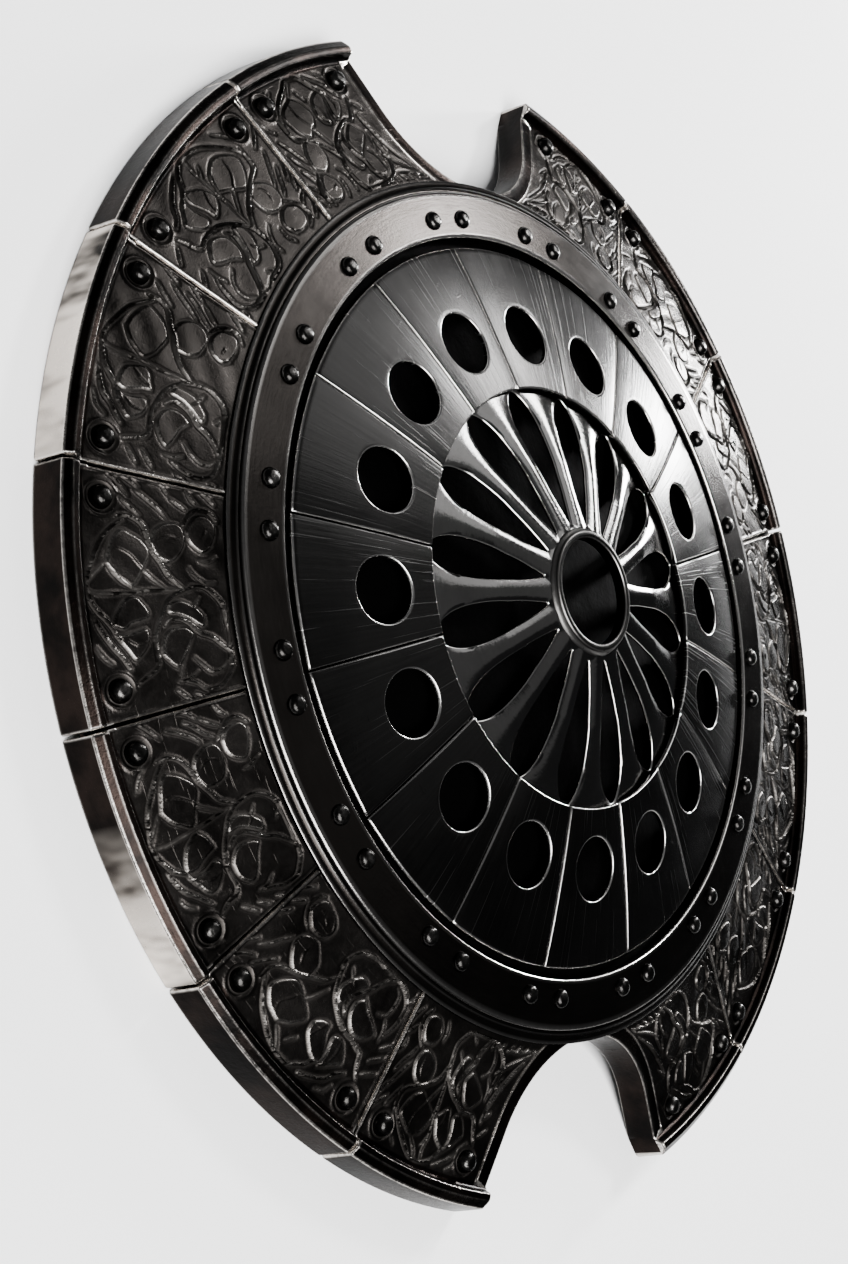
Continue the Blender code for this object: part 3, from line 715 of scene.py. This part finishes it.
def plate_lattice(motif, left, right, middle, border, rivets, shine=(0.0, 0.0)):
    """A plate's closed form between two sides, given as degrees for each row.

    border is the width of plain ground kept inside each side, rivets are the angles of its rivets, and
    shine is how bright a painted reflection on the rim's wall is at either side.
    """
    radius, level, share, wear = plate_rows().T
    low, high = np.radians(left(radius)), np.radians(right(radius))
    width = (high - low) * radius
    inner = int((width.max() - 2 * EDGE_STEPS[-1]) / CELL)
    t = np.linspace(0, 1, inner + 1)[:, None]
    steps = np.array(EDGE_STEPS)
    run = EDGE_STEPS[-1] + (width - 2 * EDGE_STEPS[-1])[None] * t
    sides = np.tile(steps[:-1, None], (1, len(radius)))
    across = np.vstack([sides, run, width[None] - sides[::-1]])
    angle = low[None] + across / radius[None]
    drop = np.zeros(len(across))
    drop[: len(steps)] = EDGE_DROPS
    drop[-len(steps) :] = EDGE_DROPS[::-1]
    turn = angle - np.radians(middle)
    plan_across, plan_along = radius[None] * np.sin(turn), radius[None] * np.cos(turn)
    straps, gap = chased(plan_across, plan_along, motif, middle)
    from_side = np.minimum(across - border[0], width[None] - across - border[1])
    fade = np.clip(from_side / 0.8, 0, 1)
    fade = fade * np.clip((radius[None] - RING_OUTER - 1.6) / 1.2, 0, 1) * share[None]
    gap = np.where(fade > 0.05, gap, FAR)
    outline = np.exp(-((np.clip(gap, 0, FAR) / 0.75) ** 2)) * (gap > -0.3)
    rivet_away = nearest_rivet(plan_across, plan_along, rivets, middle)
    moat = rivet_away - MOAT_RADIUS
    washer = np.exp(-(((rivet_away - WASHER_RADIUS) / 0.7) ** 2)) - 1.2 * np.exp(-((moat / 0.55) ** 2))
    straps = straps * fade * np.clip((rivet_away - WASHER_RADIUS - 0.4) / 0.8, 0, 1)
    sunk = FIELD_SINK * np.clip(from_side / 0.6, 0, 1)
    ground = LINE_DEPTH * (washer - outline) - sunk + hammered(plan_across, plan_along)
    row = np.arange(len(radius))
    top = ((share > 0) | (row < len(RIM_ROWS)))[None]
    height = level[None] + straps + ground * share[None] - drop[:, None] * top * (level[None] > WALL_TOP)
    wall = (radius[None] > WALL_RADIUS) & (level[None] < WALL_TOP)
    radial = radius[None] - drop[:, None] * wall * 0.8
    bead = (row < len(RIM_ROWS) + 3).astype(float)
    fields = {
        "relief": np.clip(straps / 1.5, 0, 1),
        # the rim's bead and wall, which take painted shade
        "rim": np.tile(bead, (len(across), 1)),
        "edge": np.maximum(wear[None], np.clip(drop[:, None] / 0.5, 0, 1) * top),
        "rubbed": np.exp(-(((gap + 0.6) / 0.4) ** 2)) * fade,
        # dirt and painted shade in the outlines and round the rivets
        "dirt": np.clip(outline * fade + np.exp(-((moat / 0.8) ** 2)), 0, 1) * share[None],
        # where a painted reflection lies on the rim's wall
        "shine": np.linspace(*shine, len(across))[:, None] * wall,
    }
    return closed(lattice(polar(radial, np.degrees(angle), height), **fields))


def notch_side(offset):
    """Plan places of the notch's right side, from its bottom out to past the rim."""
    radius = NOTCH_RADIUS + offset
    turn = np.radians(np.linspace(0, 90 - math.degrees(NOTCH_FLARE), 90))
    arc = np.stack([radius * np.sin(turn), NOTCH_CENTRE - radius * np.cos(turn)], 1)
    run = np.linspace(0.5, 60, 100)[:, None] * np.array([[math.sin(NOTCH_FLARE), math.cos(NOTCH_FLARE)]])
    return np.vstack([arc, arc[-1] + run])


def notch_edge(offset):
    """A function that gives the notch side's angle from its middle line, at radii."""
    side = notch_side(offset)
    radii = np.hypot(side[:, 0], side[:, 1])
    angles = np.degrees(np.arctan2(side[:, 0], side[:, 1]))
    return lambda radius: np.interp(radius, radii, angles, left=0.0)


def top_height(radius):
    """The plates' upper surface at any radius, with the bead along the rim."""
    rows = sorted(RIM_ROWS[4:])
    bead = np.interp(radius, [r for r, _, _ in rows], [z for _, z, _ in rows])
    return np.where(radius > FIELD_RADIUS, bead, field_top(radius))


def notch_border():
    """The plain border and the wall along one side of the notch, as one closed strip."""
    wide, wall = NOTCH_BORDER, WALL_THICKNESS
    # Distance from the notch, drop below the plate's top and wear of each corner
    section = [
        (wide, -0.9, 0), (wide - 0.25, -0.4, 0.6), (wide - 0.55, -0.1, 0.1), (wide - 1.0, -0.05, 0),
        (4.2, -0.3, 0), (2.6, -0.35, 0), (1.2, -0.1, 0), (0.75, 0.0, 0.1), (0.4, -0.05, 1.0),
        (0.15, -0.25, 0.8), (0.02, -0.55, 0), (0, -1.2, 0), (0, -9.0, 0), (0, -13.6, 0), (0.2, -14.1, 0.6),
        (0.6, -14.35, 0.2), (2.4, -14.35, 0), (wall, -14.0, 0), (wall, -8.0, 0), (wall, -3.1, 0),
        (wide, -3.0, 0), (wide, -0.9, 0),
    ]
    offset, drop, wear = np.array(section).T
    base = notch_side(0)
    reach = np.hypot(base[:, 0], base[:, 1]) < RIM_RADIUS - 2
    base = base[reach & (base[:, 0] > PLATE_GAP / 2)]
    tangent = np.gradient(base, axis=0)
    tangent /= np.linalg.norm(tangent, axis=1, keepdims=True)
    normal = np.stack([tangent[:, 1], -tangent[:, 0]], 1)
    plan = base[:, None] + normal[:, None] * offset[None, :, None]
    radius = np.hypot(plan[..., 0], plan[..., 1])
    start = np.hypot(base[:, 0], base[:, 1])[:, None]
    level = np.where(drop > -2, top_height(radius), field_top(start))
    height = np.maximum(level + drop[None], 0.0)
    points = np.concatenate([plan, height[..., None]], -1)
    edge = np.tile(wear, (len(base), 1))
    none = np.zeros(edge.shape)
    return closed(lattice(points, relief=none, rim=none + 1, edge=edge, rubbed=none, dirt=none, shine=none))


def rivet(radius, angle, height, width, rise, segments=20):
    """A domed rivet head on the surface, its axis along the surface's normal."""
    shape = bmesh.new()
    bmesh.ops.create_uvsphere(shape, u_segments=segments, v_segments=segments // 2, radius=width / 2 * MM)
    moved(shape, Matrix.Diagonal((1, 1, 2 * rise / width, 1)))
    for vert in shape.verts:
        flat = min(vert.co.z, rise * MM * 0.82)
        vert.co.z = flat + 0.25 * (vert.co.z - flat)
    lean = Matrix.Rotation(math.radians(14 if radius > RING_OUTER else 8), 4, "Y")
    place = turn_by(angle) @ Matrix.Translation((radius * MM, 0, height * MM)) @ lean
    return moved(shape, place @ Matrix.Rotation(random.uniform(0, 6), 4, "Z"))


def plate_heads(rivets):
    """The heads of a plate's rivets, sunk a little into its field."""
    height = field_top(PLATE_RIVET_CIRCLE) - 0.6
    return joined([rivet(PLATE_RIVET_CIRCLE, angle, height, *PLATE_HEAD) for angle in rivets])


def whole_plate(shine):
    """A plate between two joints, and its rivet heads."""
    away = SECTOR / 2 - PLATE_RIVET_AWAY
    shape = plate_lattice(
        whole_motif(),
        lambda r: np.full(r.shape, HALF_GAP - SECTOR / 2),
        lambda r: np.full(r.shape, SECTOR / 2 - HALF_GAP),
        middle=0.0,
        border=(1.1, 1.1),
        rivets=(-away, away),
        shine=shine,
    )
    return shape, plate_heads((-away, away))


def trimmed_plate():
    """The plate on one side of a notch, and its rivet heads."""
    wall_edge, border_edge = notch_edge(0), notch_edge(NOTCH_BORDER)
    rivets = (NOTCH_RIVET, 1.5 * SECTOR - PLATE_RIVET_AWAY)
    shape = plate_lattice(
        trimmed_motif(),
        lambda r: np.where(r > FIELD_RADIUS, wall_edge(r), np.maximum(border_edge(r), HALF_GAP)),
        lambda r: np.full(r.shape, 1.5 * SECTOR - HALF_GAP),
        middle=24.6,
        border=(0.4, 1.1),
        rivets=rivets,
    )
    swap_axes = Matrix(((0, 1, 0, 0), (1, 0, 0, 0), (0, 0, 1, 0), (0, 0, 0, 1)))
    return joined([shape, moved(notch_border(), swap_axes)]), plate_heads(rivets)


# How bright the painted reflection on the rim's wall is, from one side to the other, on the plates where it
# is
WALL_PAINTED_SHEEN = {3: (1.0, 0.7), 5: (-0.6, 1.2), 10: (0.0, 0.6)}


def rim_plates(steel, head_steel):
    """Fourteen plates: on each half a trimmed one, five whole ones and another trimmed one."""
    for half in range(2):
        for k in range(7):
            number = 7 * half + k + 1
            turn = TOP + 180 * half
            if k in (0, 6):
                parts = trimmed_plate()
            else:
                parts = whole_plate(WALL_PAINTED_SHEEN.get(number, (0, 0)))
                turn += SECTOR * (k + 1)
            if k == 6:
                turn += 180
                for made in parts:
                    moved(made, Matrix.Scale(-1, 4, (0, 1, 0)))
                    bmesh.ops.recalc_face_normals(made, faces=made.faces[:])
            shape, heads = (moved(made, turn_by(turn)) for made in parts)
            node = f"rim_plate_{number:02d}"
            piece(f"embossed_plate_{number:02d}", shape, steel, (node,), sharp=70)
            piece(f"plate_rivets_{number:02d}", heads, head_steel)


# Middle ring


def middle_ring(steel, head_steel):
    """The plain band over the plates' inner ends, and its rivets."""
    skirt = field_top(RING_OUTER) + 0.35
    profile = [
        (RING_OUTER, skirt, 0), (184.45, skirt + 0.5, 0.25), (184.0, skirt + 0.8, 0.15),
        (183.0, skirt + 1.0, 0), (181.9, skirt + 1.3, 0), (181.2, skirt + 1.8, 0), (180.7, skirt + 2.2, 0.1),
        (180.2, skirt + 2.3, 0), (179.9, skirt + 1.9, 0), (179.5, skirt + 1.9, 0), (179.2, skirt + 2.5, 0),
        (178.7, skirt + 3.2, 0.3), (178.0, skirt + 3.5, 0.15), (176.5, skirt + 3.7, 0),
        (170.0, skirt + 4.5, 0), (163.5, skirt + 5.3, 0), (160.6, skirt + 5.65, 0),
        (159.6, skirt + 5.75, 0.1), (158.9, skirt + 5.6, 0.7), (158.55, skirt + 5.1, 0.9),
        (RING_INNER, skirt + 4.2, 0.2), (RING_INNER, TONGUE_TOP + 0.4, 0),
        (TONGUE_INNER, TONGUE_TOP + 0.35, 0),
    ]
    piece("riveted_ring", turned(profile, 288), steel, ("middle_ring",))
    heads = []
    for k in range(SECTORS):
        for side in (1, -1):
            angle = TOP + SECTOR * (k + 0.5) + side * RING_RIVET_AWAY
            heads.append(rivet(RING_RIVET_CIRCLE, angle, skirt + 4.7, *RING_HEAD))
    piece("ring_rivets", joined(heads), head_steel)


# Boss

# The bevel of a lower edge
UNDER_CUT = 0.3
# Inset, drop and wear of each step of a rounded upper edge
ROUNDED_EDGE = [(0.0, 0.75, 0.5), (0.12, 0.38, 1.0), (0.4, 0.12, 0.7), (0.85, 0.0, 0.0)]


def perimeter(sides):
    """Plan places round a sector, from the radii and angles of four sides that meet at its corners."""
    paths = [polar(radius, angle, 0)[:, :2] for radius, angle in sides]
    return np.vstack([path[:-1] for path in paths] + [paths[0][:1]])


def layered(layers, surface):
    """A lattice through loops of plan places, each with its drop below a height function and its wear."""
    points = [np.column_stack([plan, surface(*plan.T) + drop]) for plan, drop, _ in layers]
    wear = [np.full(len(plan), worn) for plan, _, worn in layers]
    return lattice(np.stack(points, 1), edge=np.stack(wear, 1))


def pierced(outline, hole, surface, thickness, rings):
    """A closed panel with one hole, from plan outlines of like length and a height function."""
    span = hole - outline
    reach = span / np.linalg.norm(span, axis=1, keepdims=True)
    layers = [(outline + reach * inset, -drop, wear) for inset, drop, wear in ROUNDED_EDGE]
    layers += [(outline + span * share, 0, 0) for share in np.linspace(0, 1, rings + 1)[1:-1]]
    layers += [(hole - reach * inset, -drop, wear) for inset, drop, wear in reversed(ROUNDED_EDGE)]
    layers += [
        (hole, -thickness + UNDER_CUT, 0),
        (hole - reach * UNDER_CUT, -thickness, 0),
        (outline + reach * UNDER_CUT, -thickness, 0),
        (outline, -thickness + UNDER_CUT, 0),
    ]
    return closed(layered(layers + layers[:1], surface))


def boss_panels(steel):
    """Sixteen domed panels, each with a round hole and pillowed between its joints."""
    half = SECTOR / 2
    radii = np.linspace(BOSS_RADIUS, BOSS_INNER, 31)
    gaps = half - np.degrees(PANEL_GAP / 2 / radii)
    sides = [
        (BOSS_RADIUS, np.linspace(-gaps[0], gaps[0], 27)),
        (radii, gaps),
        (BOSS_INNER, np.linspace(gaps[-1], -gaps[-1], 19)),
        (radii[::-1], -gaps[::-1]),
    ]
    outline = perimeter(sides)
    centre = np.array([HOLE_CIRCLE, 0.0])
    aim = outline - centre
    hole = centre + aim / np.linalg.norm(aim, axis=1, keepdims=True) * HOLE_RADIUS
    for k in range(SECTORS):
        lift = random.uniform(-0.12, 0.12)

        def pillowed(x, y):
            aside = np.arctan2(y, x) / math.radians(half)
            return boss_top(np.hypot(x, y)) + lift - 0.45 * aside**4

        shape = pierced(outline, hole, pillowed, PANEL_THICKNESS, 12)
        moved(shape, turn_by(TOP + k * SECTOR))
        node = f"boss_panel_{k + 1:02d}"
        piece(f"brushed_panel_{k + 1:02d}", shape, steel, (node,), sharp=60)


# Rosette

# Half of a petal slot, as radius and half width
SLOT_SHAPE = [
    (29.6, 0.5), (35, 2.0), (43, 4.0), (50, 5.3), (56, 6.5), (62, 7.4), (68, 7.9), (74, 7.9), (79, 7.2),
    (83, 5.9), (86, 4.2), (88.2, 2.2), (89.2, 0.5),
]
PETAL_DISH = 0.9


def petal_slot(counts):
    """A slot's loop from the middle of its outer end, with this many places for each side of a sector.

    The sides are half the outer arc, a flank, the inner arc, the other flank and half the outer arc.
    """
    petal = smooth_path(SLOT_SHAPE, 0.8)
    tip, root = [petal[-1, 0] + 0.15, 0], [petal[0, 0] - 0.15, 0]
    loop = np.vstack([[tip], petal[::-1], [root], petal * [1, -1], [tip]])
    travel = np.concatenate([[0], np.cumsum(np.linalg.norm(np.diff(loop, axis=0), axis=1))])
    end = 4.0 / travel[-1]
    stops = [0, end, 0.5 - 0.006, 0.5 + 0.006, 1 - end, 1]
    shares = [a + (b - a) * np.arange(count) / count for count, a, b in zip(counts, stops, stops[1:])]
    places = np.concatenate(shares + [[1.0]]) * travel[-1]
    return np.stack([np.interp(places, travel, loop[:, 0]), np.interp(places, travel, loop[:, 1])], 1)


def rosette(steel):
    """The slotted disc. Each sixteenth has one petal slot on its middle line."""
    half = SECTOR / 2
    radii = np.linspace(ROSETTE_OUTER, HUB_RADIUS - 1.5, 49)
    far = np.linspace(-half, half, 17)
    near = np.linspace(half, -half, 9)
    sides = [(ROSETTE_OUTER, far), (radii, half), (radii[-1], near), (radii[::-1], -half)]
    outline = perimeter(sides)
    arc = len(far) // 2
    slot = petal_slot([arc, len(radii) - 1, len(near) - 1, len(radii) - 1, arc])
    # The outline starts at a corner, so the slot's loop is turned back by half the outer arc
    hole = np.vstack([slot[-1 - arc : -1], slot[: len(slot) - arc]])
    span = hole - outline
    reach = span / np.maximum(np.linalg.norm(span, axis=1, keepdims=True), 1e-6)
    layers = [(outline + span * share, -PETAL_DISH * share**2, 0) for share in np.linspace(0, 0.9, 7)]
    for inset, drop, wear in reversed(ROUNDED_EDGE):
        layers.append((hole - reach * inset * 0.8, -PETAL_DISH - drop, wear))
    layers += [
        (hole, -ROSETTE_THICKNESS + UNDER_CUT, 0),
        (hole - reach * UNDER_CUT, -ROSETTE_THICKNESS, 0),
        (outline, -ROSETTE_THICKNESS, 0),
    ]
    sectors = []
    for k in range(SECTORS):
        shape = layered(layers, lambda x, y: rosette_top(np.hypot(x, y)))
        sectors.append(moved(shape, turn_by(TOP + (k + 0.5) * SECTOR)))
    whole = joined(sectors)
    bmesh.ops.remove_doubles(whole, verts=whole.verts[:], dist=1e-6)
    loops = [edge for edge in whole.edges if edge.is_boundary]
    for low, high in ((0.06, 1.0), (0.0, 0.06)):
        ring = [e for e in loops if low < e.verts[0].co.to_2d().length <= high]
        bmesh.ops.bridge_loops(whole, edges=ring)
    bmesh.ops.recalc_face_normals(whole, faces=whole.faces[:])
    piece("slotted_rosette", whole, steel, ("rosette",), sharp=60)


def hub(steel):
    """The collar round the rosette's middle hole."""
    front, base = HUB_FRONT, ROSETTE_TOP
    profile = [
        (27.3, base - 0.4, 0), (26.9, base + 0.1, 0.1), (HUB_RADIUS, base + 0.5, 0.2),
        (26.1, base + 1.4, 0.1), (25.8, front - 0.7, 0), (25.4, front - 0.2, 0.2), (24.9, front, 0),
        (24.0, front, 0), (23.2, front - 0.05, 0), (22.8, front - 0.3, 0.35), (22.55, front - 0.8, 0),
        (HUB_HOLE, front - 2.5, 0), (HUB_HOLE, base - ROSETTE_THICKNESS, 0),
        (23.5, base - ROSETTE_THICKNESS - 0.1, 0), (26.4, base - ROSETTE_THICKNESS - 0.1, 0),
    ]
    piece("hub_collar", turned(profile, 160), steel, ("rosette",))


# Back


def shell_under(radius):
    """Height of the shell's underside."""
    under_boss = boss_top(radius) - SHELL_DEPTH - SHELL_THICKNESS
    under_ring = 25.6 - (radius - 150) * 0.2
    under_field = np.minimum(field_top(radius), TONGUE_TOP) - PLATE_THICKNESS - FIT - SHELL_THICKNESS
    return np.where(radius < 150, under_boss, np.where(radius < TONGUE_INNER, under_ring, under_field))


def notch_cutter(turn):
    """An upright block that fills a notch, with room for the notch's wall."""
    side = notch_side(WALL_THICKNESS + FIT)
    outline = np.vstack([side[::4], (side[::4] * [-1, 1])[::-1]])
    shape = bmesh.new()
    face = shape.faces.new([shape.verts.new((x * MM, y * MM, -0.01)) for x, y in outline])
    drawn = bmesh.ops.extrude_face_region(shape, geom=[face])
    up = [item for item in drawn["geom"] if isinstance(item, bmesh.types.BMVert)]
    bmesh.ops.translate(shape, verts=up, vec=(0, 0, 0.08))
    bmesh.ops.remove_doubles(shape, verts=shape.verts[:], dist=1e-6)
    moved(shape, turn_by(turn))
    bmesh.ops.recalc_face_normals(shape, faces=shape.faces[:])
    return placed("notch", meshed("notch", shape))


def back_shell(steel):
    """The dished backing, cut away round the two notches."""
    outer = RIM_RADIUS - WALL_THICKNESS - FIT
    plate, panel = PLATE_THICKNESS + FIT, PANEL_THICKNESS + FIT
    top = [
        (outer, field_top(outer) - plate), (RING_OUTER, field_top(RING_OUTER) - plate),
        (161.7, TONGUE_TOP - plate), (154.6, boss_top(154.6) - panel), (149.1, boss_top(149.1) - panel),
    ]
    top += [(r, boss_top(r) - SHELL_DEPTH) for r in (145.6, 120.0, 98.0)]
    top += [(94.8, 41.5), (89.0, 41.5), (85.5, boss_top(94.5) - SHELL_DEPTH)]
    top += [(r, boss_top(r) - SHELL_DEPTH) for r in (55.0, 26.5, 2.0, 0.0)]
    radii = np.concatenate([np.linspace(0, 148, 34), np.linspace(151, 161, 6), np.linspace(163, outer, 20)])
    # The top rows carry 1: the front face, which takes painted shade
    profile = [(r, z, 1) for r, z in top] + [(r, float(shell_under(r)), 0) for r in radii]
    thing = piece("dished_shell", turned(profile, 192), steel, ("back_shell",), sharp=40)
    for turn in (0, 180):
        block = notch_cutter(turn)
        cut = thing.modifiers.new("notch", "BOOLEAN")
        cut.operation = "DIFFERENCE"
        cut.object = block
        graph = bpy.context.evaluated_depsgraph_get()
        result = bpy.data.meshes.new_from_object(thing.evaluated_get(graph))
        thing.modifiers.clear()
        thing.data = result
        bpy.data.objects.remove(block)


def back_rivets(head_steel):
    """The peened ends of the rivets, on the shell's underside."""
    spots = []
    half = SECTORS // 2
    for k in range(SECTORS):
        for side in (1, -1):
            spots.append((RING_RIVET_CIRCLE, TOP + SECTOR * (k + 0.5) + side * RING_RIVET_AWAY))
            joint = k % half
            trimmed = (joint, side) in ((1, -1), (half - 1, 1))
            away = SECTOR - NOTCH_RIVET if trimmed else SECTOR / 2 - PLATE_RIVET_AWAY
            if joint:
                spots.append((PLATE_RIVET_CIRCLE, TOP + SECTOR * k + side * away))
    heads = [rivet(radius, angle, float(shell_under(radius)), *BACK_HEAD, 12) for radius, angle in spots]
    piece("back_rivets", joined(heads), head_steel)


def hand_grip(steel):
    """The grip keeps its solid's form, with rounded edges."""
    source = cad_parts["hand_grip"]
    shape = bmesh.new()
    shape.from_mesh(source.data)
    bmesh.ops.remove_doubles(shape, verts=shape.verts[:], dist=1e-6)
    bmesh.ops.dissolve_limit(shape, angle_limit=0.02, verts=shape.verts[:], edges=shape.edges[:])
    bends = [edge for edge in shape.edges if edge.is_manifold and edge.calc_face_angle() > 0.2]
    bmesh.ops.bevel(
        shape, geom=bends, offset=1.4 * MM, offset_type="OFFSET", affect="EDGES",
        segments=3, profile=0.5, material=-1,
    )
    bmesh.ops.recalc_face_normals(shape, faces=shape.faces[:])
    piece("forged_grip", shape, steel, ("hand_grip",), sharp=35)


# Stage

# The photograph's focal length, as a share of its height
FOCAL_SHARE = 2215.26 / 1264


def camera():
    """The photograph's view, which looks down on the shield lying on its back."""
    place = Vector((-0.76037, -0.11870, 0.57649))
    right = Vector((0.63158769, -0.11984131, 0.76598633))
    down = Vector((0.01709723, -0.98558819, -0.16829619))
    forward = Vector((0.77511591, 0.11939005, -0.62043641))
    lens = bpy.data.cameras.new("view")
    lens.sensor_fit = "VERTICAL"
    lens.sensor_height = 24.0
    lens.lens = lens.sensor_height * FOCAL_SHARE
    lens.clip_start = 0.05
    thing = placed("view", lens)
    turn = Matrix((right, -down, -forward)).transposed().to_4x4()
    thing.matrix_world = Matrix.Translation(place) @ turn
    bpy.context.scene.camera = thing


def softbox(name, azimuth, elevation, distance, width, height, power):
    """A rectangular light that faces the shield."""
    light = bpy.data.lights.new(name, "AREA")
    light.shape = "RECTANGLE"
    light.size, light.size_y = width, height
    light.energy = power
    thing = placed(name, light)
    a, e = math.radians(azimuth), math.radians(elevation)
    away = Vector((math.cos(a) * math.cos(e), math.sin(a) * math.cos(e), math.sin(e)))
    thing.location = away * distance
    thing.rotation_euler = away.to_track_quat("Z", "Y").to_euler()


def stage():
    """A plain pale floor and the lights: narrow keys that glance off the metal, and broad fills."""
    floor = bmesh.new()
    bmesh.ops.create_grid(floor, x_segments=4, y_segments=4, size=8)
    mesh = meshed("floor", floor)
    finish = Finish("floor")
    grain = finish.noise(6.0, 3.0)
    colour = finish.mix(grain, (0.88, 0.88, 0.88), (0.92, 0.92, 0.92))
    normal = finish.bump(grain, 0.001, 0.1)
    mesh.materials.append(finish.surface(colour, 0.8, normal, metallic=0.0))
    thing = placed("floor", mesh)
    thing.location = (0, 0, -0.0002)
    world = bpy.data.worlds.new("studio")
    world.use_nodes = True
    sky = world.node_tree.nodes["Background"]
    sky.inputs["Color"].default_value = (0.95, 0.97, 1.0, 1)
    sky.inputs["Strength"].default_value = 0.16
    bpy.context.scene.world = world
    softbox("low key", 18.5, 9.5, 1.9, 0.18, 0.42, 92)
    softbox("high key", 34, 33, 1.9, 0.28, 0.30, 42)
    softbox("side fill", 49, 46, 2.0, 0.7, 1.1, 11)
    softbox("fill", 20, 62, 2.0, 1.6, 1.0, 3)
    softbox("overhead", 230, 55, 2.6, 1.6, 1.4, 220)


def main():
    """The whole shield, its stage and its view."""
    plates, boss = embossed_steel(), boss_steel()
    ring = ring_steel("ring_steel", (0.0062, 0.0056, 0.0052), (0.0165, 0.0145, 0.0132), 0.21)
    petals = ring_steel("rosette_steel", (0.024, 0.0235, 0.0230), (0.070, 0.0688, 0.0676), 0.12)
    collar = ring_steel("collar_steel", (0.005, 0.0048, 0.0046), (0.012, 0.0115, 0.011), 0.30)
    heads, back = rivet_steel(), back_steel()
    rim_plates(plates, heads)
    middle_ring(ring, heads)
    boss_panels(boss)
    rosette(petals)
    hub(collar)
    back_shell(back)
    back_rivets(heads)
    hand_grip(back)
    camera()
    stage()


main()
